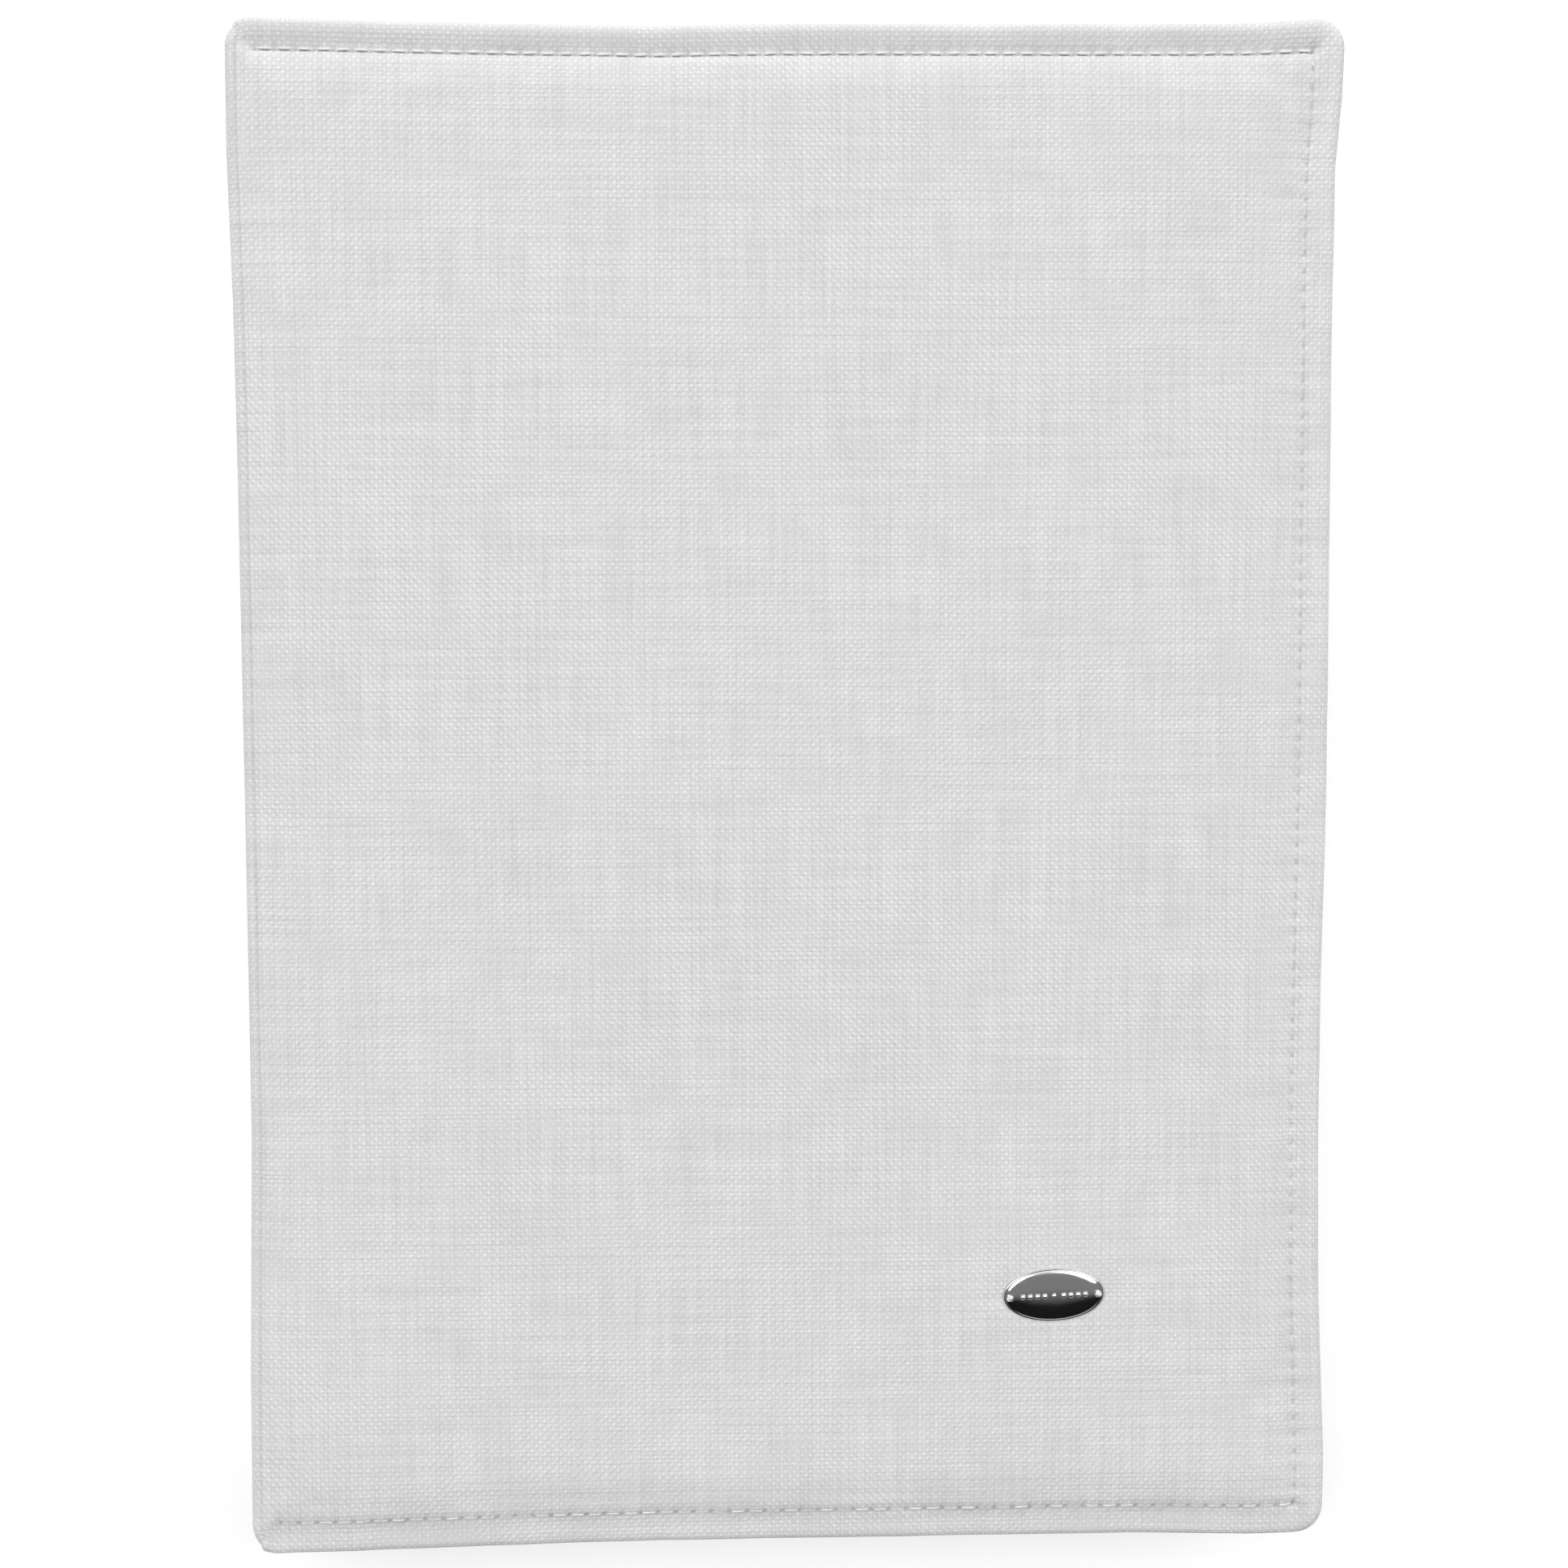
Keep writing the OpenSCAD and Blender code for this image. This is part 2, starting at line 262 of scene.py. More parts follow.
def polished(look):
    # chromed brass: bright, with fine wiping marks and a little unevenness
    material, tree, shader = newMaterial(look["name"])
    spot = addNode(tree, "TexCoord").node.outputs["Object"]
    along = addNode(tree, "Mapping", {"Vector": spot, "Scale": (900, 6000, 900)})
    wiping = addNode(tree, "TexNoise", {"Vector": along, "Scale": 1, "Detail": 4, "Roughness": 0.6})
    swell = addNode(tree, "TexNoise", {"Vector": spot, "Scale": 420, "Detail": 2})
    low, high = look["roughness"] * 0.7, look["roughness"] * 1.5
    rough = addNode(tree, "MapRange", {0: wiping, 1: 0.3, 2: 0.7, 3: low, 4: high})
    bump = addNode(tree, "Bump", {"Strength": 0.12, "Distance": 0.05 * mm, "Height": swell})
    tree.links.new(rough, shader.inputs["Roughness"])
    tree.links.new(bump, shader.inputs["Normal"])
    shader.inputs["Base Color"].default_value = linear(look["light"])
    shader.inputs["Metallic"].default_value = 1.0
    return material


whiteLinen = wovenCloth({  # the cover: cool white linen with slubs
    # the seam colour is painted shade, mixed in along the stitch lines and in the needle holes
    "name": "white linen", "light": "#e1e1e2", "shade": "#bfbfc0", "seam": "#8c8c8d",
    "pitch": (0.60, 0.62), "plain": 0.30, "wander": 0.26, "weave": 0.70, "streaks": 0.7, "clouds": 0.15,
    "fuzz": 0.6, "bump": 0.5, "roughness": 0.85, "sheen": 0.15})
pocketLinen = wovenCloth({  # the same linen, a little flatter, inside the cover
    "name": "pocket linen", "light": "#e0e0df", "shade": "#cdcdcc",
    "pitch": (0.60, 0.62), "plain": 0.55, "wander": 0.26, "weave": 0.75, "streaks": 0.8, "clouds": 0.3,
    "fuzz": 0.3, "bump": 0.4, "roughness": 0.85, "sheen": 0.1})
cottonLining = wovenCloth({  # fine cotton, closer and smoother than the linen
    "name": "cotton lining", "light": "#e9e9e6", "shade": "#dadad6",
    "pitch": (0.32, 0.34), "plain": 0.7, "wander": 0.08, "weave": 0.5, "streaks": 0.8, "clouds": 0.4,
    "fuzz": 0.2, "bump": 0.2, "roughness": 0.8, "sheen": 0.1})
caseCloth = wovenCloth({  # natural book cloth pasted over the boards
    "name": "case cloth", "light": "#d8d1c0", "shade": "#bfb7a3",
    "pitch": (0.38, 0.40), "plain": 0.7, "wander": 0.10, "weave": 0.8, "streaks": 1.2, "clouds": 0.5,
    "fuzz": 0.3, "bump": 0.3, "roughness": 0.75, "sheen": 0.05})
whiteThread = fibrous({  # matt cotton sewing thread, whiter than the linen
    "name": "white sewing thread", "light": "#e4e4e4", "shade": "#d2d2d2", "fibre": (2500, 2500, 2500),
    "blotch": 400, "bump": 0.4, "roughness": 0.7, "sheen": 0.2})
linenThread = fibrous({  # waxed linen thread across the backs of the sections
    "name": "waxed linen thread", "light": "#efe6cc", "shade": "#d8cba8", "fibre": (3000, 3000, 500),
    "blotch": 300, "bump": 0.5, "roughness": 0.55})
pagePaper = fibrous({  # cream printing paper, slightly warm at the edges
    "name": "page paper", "light": "#f4efe2", "shade": "#eae3d2", "fibre": (700, 700, 9000),
    "blotch": 120, "bump": 0.15, "roughness": 0.8})
endPaper = fibrous({  # thicker, smoother paper of flyleaves and pastedowns
    "name": "endpaper", "light": "#f6f2e8", "shade": "#ece6d8", "fibre": (500, 500, 500),
    "blotch": 90, "bump": 0.12, "roughness": 0.7})
greyBoard = fibrous({  # grey bookbinder's board with flecks
    "name": "greyboard", "light": "#9b968c", "shade": "#7d786f", "fibre": (900, 900, 4000),
    "blotch": 500, "bump": 0.5, "roughness": 0.9})
kraftPaper = fibrous({  # brown spine lining paper
    "name": "kraft paper", "light": "#c8a678", "shade": "#b08c5f", "fibre": (400, 1800, 400),
    "blotch": 200, "bump": 0.3, "roughness": 0.85})
mullCloth = fibrous({  # stiff open cotton glued to the spine
    "name": "mull", "light": "#e8e0c9", "shade": "#cfc6aa", "fibre": (3000, 1500, 1500),
    "blotch": 300, "bump": 0.6, "roughness": 0.85})
bandThread = fibrous({  # silk and cotton winding of the head and tail bands
    "name": "end band winding", "light": "#f2ead6", "shade": "#d9cdb0", "fibre": (800, 800, 5000),
    "blotch": 300, "bump": 0.4, "roughness": 0.5, "sheen": 0.3})
chrome = polished({  # bright chromed metal of the oval plate
    "name": "chromed metal", "light": "#dcdddf", "roughness": 0.09})


# Cloth laid over a board and turned round its edges

linen = {
    "foreX": 79.3,        # outside of the fore-edge roll
    "half": 110.75,       # outside of the head and tail rolls
    "corner": 4.3,        # outline radius at the fore-edge corners
    "roll": 1.3,          # radius of the soft edge
    "rollSpine": 0.7,     # the edge is thinner over the spine
    "rollX": (-78.5, -72.0),
    "topZ": 22.65,
    "wrap": 3.0,          # cloth turned under the edge
    "bendX": -77.0,       # the spine edge: centre and radius of its bend
    "bendR": 2.3,
    "endZ": 11.325,       # where the front and back halves meet on the spine
    "cell": (152.4 / 232, 212.4 / 328),
    "seamX": (-77.6, 74.8),
    "seamY": 106.2,
    "stitches": (58, 82),
}


def edgeDistance(u, v, p, roll):
    # distance outwards from the line where the edge starts to roll, and the way it points
    qx = u - (p["foreX"] - p["corner"])
    qy = np.abs(v) - (p["half"] - p["corner"])
    ex, ey = np.maximum(qx, 0), np.maximum(qy, 0)
    reach = np.hypot(ex, ey)
    d = np.where(reach > 0, reach, np.maximum(qx, qy)) - (p["corner"] - roll)
    nx = np.where(reach > 0, ex / np.maximum(reach, 1e-9), qx > qy)
    ny = np.where(reach > 0, ey / np.maximum(reach, 1e-9), qx <= qy) * np.sign(v)
    return d, nx, ny


def wrapCloth(u, v, p, rise=None):
    # flat cloth coordinates to places on the cover, in millimetres
    share = smooth((u - p["rollX"][0]) / (p["rollX"][1] - p["rollX"][0]))
    roll = p["rollSpine"] + (p["roll"] - p["rollSpine"]) * share
    d, nx, ny = edgeDistance(u, v, p, roll)
    out = np.clip(d, 0, math.pi * roll + p["wrap"])
    angle = np.clip(out / roll, 0, math.pi)
    under = np.maximum(out - math.pi * roll, 0)
    move = roll * np.sin(angle) - under - np.maximum(d, 0)
    x = u + nx * move
    y = v + ny * move
    h = roll * np.cos(angle) - roll
    if rise is not None:
        h = h + rise * np.clip(np.cos(angle), 0, 1)
    past = p["bendX"] - x
    turn = np.clip(past / p["bendR"], 0, math.pi / 2)
    down = np.maximum(past - math.pi / 2 * p["bendR"], 0)
    radius = np.maximum(p["bendR"] + h, 0.15)
    centreZ = p["topZ"] - p["bendR"]
    z = np.where(past > 0, centreZ + radius * np.cos(turn) - down, p["topZ"] + h)
    x = np.where(past > 0, p["bendX"] - radius * np.sin(turn), x)
    return x, y, np.maximum(z, p["endZ"])


def wave(values, seed, sizes=(60, 25, 9), weights=(1.0, 0.5, 0.25)):
    # smooth hand-made unevenness along one direction
    random = np.random.RandomState(seed)
    total = np.zeros_like(values)
    for size, weight in zip(sizes, weights):
        total += weight * np.sin(values / size * 2 * math.pi + random.uniform(0, 2 * math.pi))
    return total


outlineBulge = {  # how far each side of the cover stands out, at a few places along it
    "left": ((-112, 0.3), (-85, 0.2), (-50, -0.5), (0, -0.3), (45, -0.05), (70, 0.2),
             (92, 0.8), (112, 0.8)),
    "right": ((-112, 0.0), (-98, 0.1), (-75, -0.9), (-50, -1.25), (-25, -1.1), (0, -0.65), (70, -0.7),
              (90, -0.5), (100, 0.4), (112, 0.8)),
    "head": ((-80, -0.3), (-45, -0.9), (-20, -1.2), (0, -0.7), (50, -0.4), (67, -0.15), (76, 0.45)),
    "tail": ((-80, 1.1), (-65, 1.0), (-45, 0.45), (-20, 0.0), (50, -0.15), (68, 0.3), (80, 0.0)),
}


def bulgeAt(side, values):
    points = outlineBulge[side]
    return np.interp(values, [a for a, b in points], [b for a, b in points])


def seamShape(u, v, p, seed):
    # height over the cover: soft border, stitch valley, flat panel, and the needle holes; also the mask
    # of painted shade along the seams and in the holes
    toFore = u - p["seamX"][1]
    toHead = np.abs(v) - p["seamY"]
    toHinge = p["seamX"][0] - u
    inside = -np.maximum(np.maximum(toFore, toHead), toHinge)  # how deep in the panel
    rise = 0.22 * (1 - np.exp(-np.maximum(inside, 0) / 6.0))
    seam = np.zeros_like(u)
    stepU, stepV = p["cell"][0] * 4, p["cell"][1] * 4
    sideEnds = smooth(1 - (toHead - 0.3) / 1.2)
    hingeEnds = smooth(1 - (toHead - stepV - 0.3) / 1.2)
    lineEnds = smooth(1 - (np.maximum(toFore, toHinge + stepU) - 0.3) / 1.2)
    # at the head the border stands up from the stitches, at the tail it drops outside them
    border = np.where(v > 0, -0.78 * np.clip(1 - toHead / 3.7, 0, 1) ** 1.35,
                      -0.30 - 0.55 * (1 - np.exp(-np.abs(toHead) / 1.1)))
    panel = np.where(v > 0, -0.64 * np.exp(-np.abs(toHead) / 0.9) - 0.10 * np.exp(-np.abs(toHead) / 2.5),
                     -0.30 * np.exp(-np.abs(toHead) / 0.5))
    borderEnds = smooth((u - p["seamX"][0] + 0.6) / 2.6) * smooth(1 - toFore / 2.8)
    rise += np.where(toHead > 0, border * borderEnds, panel * lineEnds * borderEnds)
    fore = 0.42 * np.exp(-((toFore + 0.25) / 0.5) ** 2) + 0.10 * np.exp(-np.abs(toFore) / 1.6)
    hinge = 0.20 * np.exp(-(toHinge / 0.45) ** 2)
    rise -= fore * sideEnds + hinge * hingeEnds
    # depth sets the dents and how dark the painted shade in the needle holes is; line is the painted
    # shade along the stitch line
    for across, ends, along, first, step, depth, line in (
            (toFore, sideEnds, v, p["seamY"], stepV, 0.8, 0.57),
            (toHinge, hingeEnds, v, p["seamY"], stepV, 0.2, 0.68),
            (toHead, lineEnds, u, p["seamX"][0], stepU, 1.0, 0.55)):
        hole = 0.5 + 0.5 * np.cos((along - first) / step * 2 * math.pi)
        pucker = 0.09 * (hole - 0.5) * np.exp(-np.abs(across) / 1.6)
        dent = 0.30 * np.exp(-(across / 0.42) ** 2) * hole ** 3
        pull = 0.06 * wave(along, seed, (19, 7, 5.2)) * np.exp(-np.abs(across) / 2.0)
        rise -= ends * depth * (pucker + dent + pull)
        # seam: the mask of painted shade on the stitch lines, darker in the needle holes
        onLine = (np.abs(across) < p["cell"][0] * 0.4) & (ends > 0.9)
        seam = np.maximum(seam, np.where(onLine, np.where(hole > 0.97, 0.55 + 0.45 * depth, line), 0.0))
    return rise, seam, inside


def shiftOutline(x, y, z, p, back):
    # the slightly uneven outline of the real cover, and its round corners at the spine
    high = smooth((z - p["endZ"] - 0.5) / 7.5)  # the spine is straight in the middle of its height
    amount = (0.55 if back else 1.0) * high
    moved = [np.zeros_like(x), np.zeros_like(y)]
    for side, axis, edge in (("left", 0, -p["foreX"]), ("right", 0, p["foreX"]),
                             ("head", 1, p["half"]), ("tail", 1, -p["half"])):
        coordinate, along = (x, y) if axis == 0 else (y, x)
        near = smooth(1 - np.abs(coordinate - edge) / 16)
        moved[axis] += math.copysign(1, edge) * amount * near * bulgeAt(side, along)
    cornerR = 4.0
    qx = np.clip((-p["foreX"] + cornerR - x) / cornerR, 0, 1.2)
    qy = np.clip((np.abs(y) - p["half"] + cornerR) / cornerR, 0, 1.2)
    inCorner = (qx > 0) & (qy > 0)
    size = np.where(inCorner, np.maximum(qx, qy) / np.maximum(np.hypot(qx, qy), 1e-6), 1.0)
    size = 1 + (size - 1) * (0.3 + 0.7 * high)
    x = np.where(inCorner, -p["foreX"] + cornerR - qx * size * cornerR, x)
    y = np.where(inCorner, np.sign(y) * (p["half"] - cornerR + qy * size * cornerR), y)
    return x + moved[0], y + moved[1]


def simulatePanel(p, seed):
    # a coarse copy of the stitched panel, puffed up by a cloth simulation and read back as heights
    cells = (58, 82)
    low = np.array([p["seamX"][0], -p["seamY"]])
    high = np.array([p["seamX"][1], p["seamY"]])
    bm = flatGrid((low[0], high[0]), (low[1], high[1]), *cells)
    bmesh.ops.scale(bm, verts=bm.verts, vec=(mm, mm, mm))
    bm.verts.ensure_lookup_table()
    random = np.random.RandomState(seed)
    jitter = random.uniform(-0.05, 0.05, len(bm.verts))
    for vert, lift in zip(bm.verts, jitter):
        vert.co.z = lift * mm
    edge = [vert.index for vert in bm.verts if vert.is_boundary]
    obj = addObject("coarsePanel", bm, [])
    obj.scale = (10, 10, 10)  # cloth solves better at a larger size
    bpy.context.view_layer.update()
    obj.data.transform(obj.matrix_world)
    obj.scale = (1, 1, 1)
    pins = obj.vertex_groups.new(name="seam")
    pins.add(edge, 1.0, "REPLACE")
    cloth = obj.modifiers.new("cloth", "CLOTH")
    cloth.settings.quality = 6
    cloth.settings.mass = 0.2
    cloth.settings.tension_stiffness = 12
    cloth.settings.compression_stiffness = 12
    cloth.settings.shear_stiffness = 6
    cloth.settings.bending_stiffness = 0.6
    cloth.settings.vertex_group_mass = "seam"
    cloth.settings.shrink_min = -0.006
    cloth.settings.use_pressure = True
    cloth.settings.uniform_pressure_force = 1.2
    cloth.settings.effector_weights.gravity = 0
    scene = bpy.context.scene
    scene.frame_start, scene.frame_end = 1, 20
    cloth.point_cache.frame_start, cloth.point_cache.frame_end = 1, 20
    for number in range(1, 21):
        scene.frame_set(number)
    shape = obj.evaluated_get(bpy.context.evaluated_depsgraph_get())
    co = np.zeros(len(obj.data.vertices) * 3, np.float32)
    shape.data.vertices.foreach_get("co", co)
    heights = co.reshape(-1, 3)[:, 2].reshape(cells[1] + 1, cells[0] + 1) / 10 / mm
    scene.frame_set(1)
    bpy.data.objects.remove(obj)
    print("panel simulated, heights from", heights.min().round(2), "to", heights.max().round(2))
    return heights


def puffAt(u, v, p, heights, limit):
    # the simulated heights between their grid points, kept small as the wadding is thin
    rows, columns = heights.shape
    s = np.clip((u - p["seamX"][0]) / (p["seamX"][1] - p["seamX"][0]), 0, 1) * (columns - 1.001)
    t = np.clip((v + p["seamY"]) / (2 * p["seamY"]), 0, 1) * (rows - 1.001)
    i, j = s.astype(int), t.astype(int)
    s, t = smooth(s - i), smooth(t - j)
    top = heights[j + 1, i] * (1 - s) + heights[j + 1, i + 1] * s
    low = heights[j, i] * (1 - s) + heights[j, i + 1] * s
    value = low * (1 - t) + top * t
    return limit * np.tanh(value / limit)


def linenCover(name, p, seed, heights, back):
    cu, cv = p["cell"]
    across, along = p["stitches"]
    outside, spineSide = 16, 19  # cells outside the seams, with four cells to a stitch
    uRange = (p["seamX"][0] - spineSide * cu, p["seamX"][1] + outside * cu)
    vRange = (-p["seamY"] - outside * cv, p["seamY"] + outside * cv)
    bm = flatGrid(uRange, vRange, across * 4 + outside + spineSide, along * 4 + 2 * outside)
    reach = p["corner"] - p["roll"] + math.pi * p["roll"] + p["wrap"]
    far = []
    for face in bm.faces:  # cloth cut away at the corners, where it would bunch up
        c = face.calc_center_median()
        ex, ey = c.x - p["foreX"] + p["corner"], abs(c.y) - p["half"] + p["corner"]
        if ex > 0 and ey > 0 and math.hypot(ex, ey) > reach:
            far.append(face)
    bmesh.ops.delete(bm, geom=far, context="FACES")
    layUv(bm)
    obj = addObject(name, bm, [whiteLinen])
    flat = readPoints(obj.data)
    u, v = flat[:, 0], flat[:, 1]
    rise, seam, inside = seamShape(u, v, p, seed)
    if heights is not None:
        rise += puffAt(u, v, p, heights, 0.35) * smooth(inside / 6)
    rise += 0.05 * wave(u + 0.35 * v, seed + 20, (90, 37, 21)) * smooth(inside / 10)
    if not back:  # the plate's two ties pull the cloth in
        for side in (-1, 1):
            tieX = plate["x"] + side * plate["holes"] / 2
            gap = np.hypot(u - tieX, v - plate["y"])
            rise -= 0.28 * np.exp(-(gap / 2.2) ** 2)
    x, y, z = wrapCloth(u, v, p, rise)
    z += 0.06 * wave(y, seed + 40, (31, 13, 7.8)) * (np.abs(x - p["foreX"]) < 4)
    z += 0.06 * wave(x, seed + 41, (29, 14, 7.9)) * (np.abs(np.abs(y) - p["half"]) < 4)
    x, y = shiftOutline(x, y, z, p, back)
    writePoints(obj.data, np.stack([x, y, np.maximum(z, p["endZ"])], 1) * mm)
    # the mask of painted shade at the seams, read by the linen material
    attribute = obj.data.attributes.new("seam", "FLOAT", "POINT")
    attribute.data.foreach_set("value", seam.astype(np.float32))
    if back:
        mirrorToBack(obj)
    return obj


def coverPoint(u, v, p, seed, back, lift):
    # one place on the finished linen, for the thread that lies on it
    u, v = np.array([float(u)]), np.array([float(v)])
    rise, seam, inside = seamShape(u, v, p, seed)
    x, y, z = wrapCloth(u, v, p, rise + lift)
    x, y = shiftOutline(x, y, z, p, back)
    return Vector((x[0], y[0], z[0]))


topStitch = {
    "width": 0.37,      # thread as it lies, pressed a little flat
    "height": 0.32,
    "fill": 0.74,       # share of a stitch that the thread shows between two holes
    "head": 0.30,       # how far its middle stands above the bottom of the valley
    "tail": -0.12,
    "fore": -0.18,
    "hinge": -0.22,
}


def topStitches(name, p, seed, back):
    bm = bmesh.new()
    random = np.random.RandomState(seed + 7)
    across, along = p["stitches"]
    lines = []
    step = 2 * p["seamY"] / along
    for x, extra, kind in ((p["seamX"][0], 1, "hinge"), (p["seamX"][1], 0, "fore")):
        for i in range(-extra, along + extra):
            lines.append(((x, -p["seamY"] + i * step), (x, -p["seamY"] + (i + 1) * step), kind))
    step = (p["seamX"][1] - p["seamX"][0]) / across
    for y, kind in ((-p["seamY"], "tail"), (p["seamY"], "head")):
        for i in range(1, across):
            lines.append(((p["seamX"][0] + i * step, y), (p["seamX"][0] + (i + 1) * step, y), kind))
    for start, end, lift in lines:
        a = coverPoint(*start, p, seed, back, 0)
        b = coverPoint(*end, p, seed, back, 0)
        lie = topStitch[lift] + random.uniform(-0.07, 0.05)
        middle = coverPoint((start[0] + end[0]) / 2, (start[1] + end[1]) / 2, p, seed, back, lie)
        direction = (b - a).normalized()
        up = Vector((0, 0, 1)) if middle.x > -77 else Vector((-0.3, 0, 1)).normalized()
        side = direction.cross(up).normalized()
        up = side.cross(direction)
        length = (b - a).length * topStitch["fill"] * random.uniform(0.95, 1.04)
        tilt = Matrix.Rotation(random.uniform(-0.06, 0.06), 3, up)
        turn = tilt @ Matrix((direction, side, up)).transposed()
        stretch = Matrix.Diagonal((length / 2, topStitch["width"] / 2, topStitch["height"] / 2))
        matrix = Matrix.Translation(middle * mm) @ (turn @ stretch).to_4x4()
        bmesh.ops.create_uvsphere(bm, u_segments=8, v_segments=7, radius=mm,
                                  matrix=matrix @ Matrix.Rotation(math.pi / 2, 4, "Y"))
    obj = addObject(name, bm, [whiteThread])
    if back:
        mirrorToBack(obj)
    return obj


# Name plate

plate = {
    "x": 38.6, "y": -73.9,
    "turn": 2.4,
    "half": (7.55, 3.95),
    "height": 0.80,
    "holes": 13.1,
    "hole": 0.55,
    "beads": 4,           # beads on each side of the middle
    "bead": 0.46,
    "beadStep": 1.08,
}


def plateReach(angle):
    # distance from the middle of the plate to its oval outline, a little fuller than an ellipse
    a, b = plate["half"]
    return (abs(math.cos(angle) / a) ** 2.05 + abs(math.sin(angle) / b) ** 2.05) ** (-1 / 2.05)


def plateHeight(share):
    # profile from the middle to the rim: a low dome with round shoulders
    dome = plate["height"] * (1 - 0.22 * share ** 2 - 0.50 * share ** 5)
    dome -= 0.07 * math.exp(-((share - 0.93) / 0.022) ** 2)
    edge = smooth((1 - share) / 0.035) ** 0.5
    return dome * float(edge)


def restOn(cloth):
    # the plate lies on the cloth, pressed in by a tenth of a millimetre
    heights = []
    for i in range(32):
        angle = 2 * math.pi * i / 32
        reach = plateReach(angle)
        x = plate["x"] + reach * math.cos(angle)
        y = plate["y"] + reach * math.sin(angle)
        found, spot = cloth.ray_cast(Vector((x, y, 60)) * mm, (0, 0, -1))[:2]
        if found:
            heights.append(spot.z / mm)
    plate["z"] = max(heights) - 0.1
    print("plate rests at", round(plate["z"], 2), "of", round(min(heights), 2), round(max(heights), 2))


def plateMatrix():
    spot = Matrix.Translation((plate["x"], plate["y"], plate["z"]))
    return Matrix.Scale(mm, 4) @ spot @ Matrix.Rotation(math.radians(plate["turn"]), 4, "Z")


def namePlate():
    rings, around = 44, 144
    bm = flatGrid((0, 1), (0, 1), around, rings)
    for vert in bm.verts:
        angle, share = vert.co.x * 2 * math.pi, math.sin(vert.co.y * math.pi / 2)
        reach = plateReach(angle) * share
        x, y = reach * math.cos(angle), reach * math.sin(angle)
        vert.co = (x, y, plateHeight(share))
    bmesh.ops.remove_doubles(bm, verts=bm.verts, dist=0.001)
    rim = [edge for edge in bm.edges if edge.is_boundary]
    bmesh.ops.edgenet_fill(bm, edges=rim)
    bmesh.ops.recalc_face_normals(bm, faces=bm.faces)
    obj = addObject("namePlate", bm, [chrome])
    cut = bmesh.new()
    for side in (-1, 1):
        spot = Matrix.Translation((side * plate["holes"] / 2, 0, 0))
        bmesh.ops.create_cone(cut, cap_ends=True, segments=32, radius1=plate["hole"],
                              radius2=plate["hole"], depth=4, matrix=spot)
    cutter = addObject("plateHoles", cut, [])
    boolean = obj.modifiers.new("holes", "BOOLEAN")
    boolean.object = cutter
    boolean.operation = "DIFFERENCE"
    boolean.solver = "EXACT"
    bpy.context.view_layer.update()
    mesh = bpy.data.meshes.new_from_object(obj.evaluated_get(bpy.context.evaluated_depsgraph_get()))
    obj.modifiers.clear()
    obj.data = mesh
    bpy.data.objects.remove(cutter)
    bm = bmesh.new()
    bm.from_mesh(mesh)
    for side in (-1, 1):  # a row of beads with a small diamond in its middle
        for i in range(1, plate["beads"] + 1):
            x = side * (0.30 + i * plate["beadStep"])
            spot = Matrix.Translation((x, 0, plateHeight(abs(x) / plate["half"][0]) - 0.12))
            bmesh.ops.create_icosphere(bm, subdivisions=3, radius=plate["bead"], matrix=spot)
    middle = Matrix.Translation((0, 0, plate["height"] + 0.05)) @ Matrix.Diagonal((0.72, 0.72, 0.34, 1))
    bmesh.ops.create_cone(bm, cap_ends=True, segments=4, radius1=1, radius2=0.25, depth=1, matrix=middle)
    bm.to_mesh(mesh)
    bm.free()
    mesh.transform(plateMatrix())
    mesh.shade_smooth()
    return obj


def plateTies():
    # thread wound three times through each hole, ending in a small knot
    bm = bmesh.new()
    winds = ((0, 0.17, 0.33), (0.1, -0.17, 0.33), (-0.12, 0.0, 0.35))  # place and size of each turn
    for side in (-1, 1):
        x = side * plate["holes"] / 2
        for i, (dx, dy, size) in enumerate(winds):
            spot = Matrix.Translation((x + dx * side, dy, 0.52 + 0.07 * i))
            shape = Matrix.Diagonal((size * 1.25, size * 0.85, size * 0.8, 1))
            bmesh.ops.create_uvsphere(bm, u_segments=16, v_segments=10, radius=1,
                                      matrix=spot @ Matrix.Rotation(0.5 * (i - 1), 4, "Z") @ shape)
        post = Matrix.Translation((x, 0, 0.15))
        bmesh.ops.create_cone(bm, segments=16, radius1=0.34, radius2=0.34, depth=0.9, matrix=post)
    bmesh.ops.transform(bm, matrix=plateMatrix(), verts=bm.verts)
    bmesh.ops.recalc_face_normals(bm, faces=bm.faces)
    return addObject("namePlateTies", bm, [whiteThread])


# Inside of the cover

lining = {
    "foreX": 78.3, "half": 109.9, "corner": 3.4, "roll": 0.2, "rollSpine": 0.2, "rollX": (-80, -79),
    "topZ": 20.50, "wrap": 0.0, "bendX": -77.65, "bendR": 0.95, "endZ": 11.325,
}
caseWrap = {
    "foreX": 73.8, "half": 105.3, "corner": 1.6, "roll": 1.15, "rollSpine": 0.12, "rollX": (-74.5, -72.0),
    "topZ": 20.05, "wrap": 11.0, "bendX": -77.6, "bendR": 0.6, "endZ": 11.325,
}


def steppedValues(parts):
    # grid lines that are close together where the cloth bends
    values = [parts[0][0]]
    for low, high, count in parts:
        values += list(np.linspace(low, high, count + 1)[1:])
    return np.array(values)


def steppedGrid(uLines, vLines):
    # a flat grid whose lines lie at the given places
    bm = flatGrid((0, len(uLines) - 1), (0, len(vLines) - 1), len(uLines) - 1, len(vLines) - 1)
    for vert in bm.verts:
        vert.co.x, vert.co.y = uLines[round(vert.co.x)], vLines[round(vert.co.y)]
    return bm


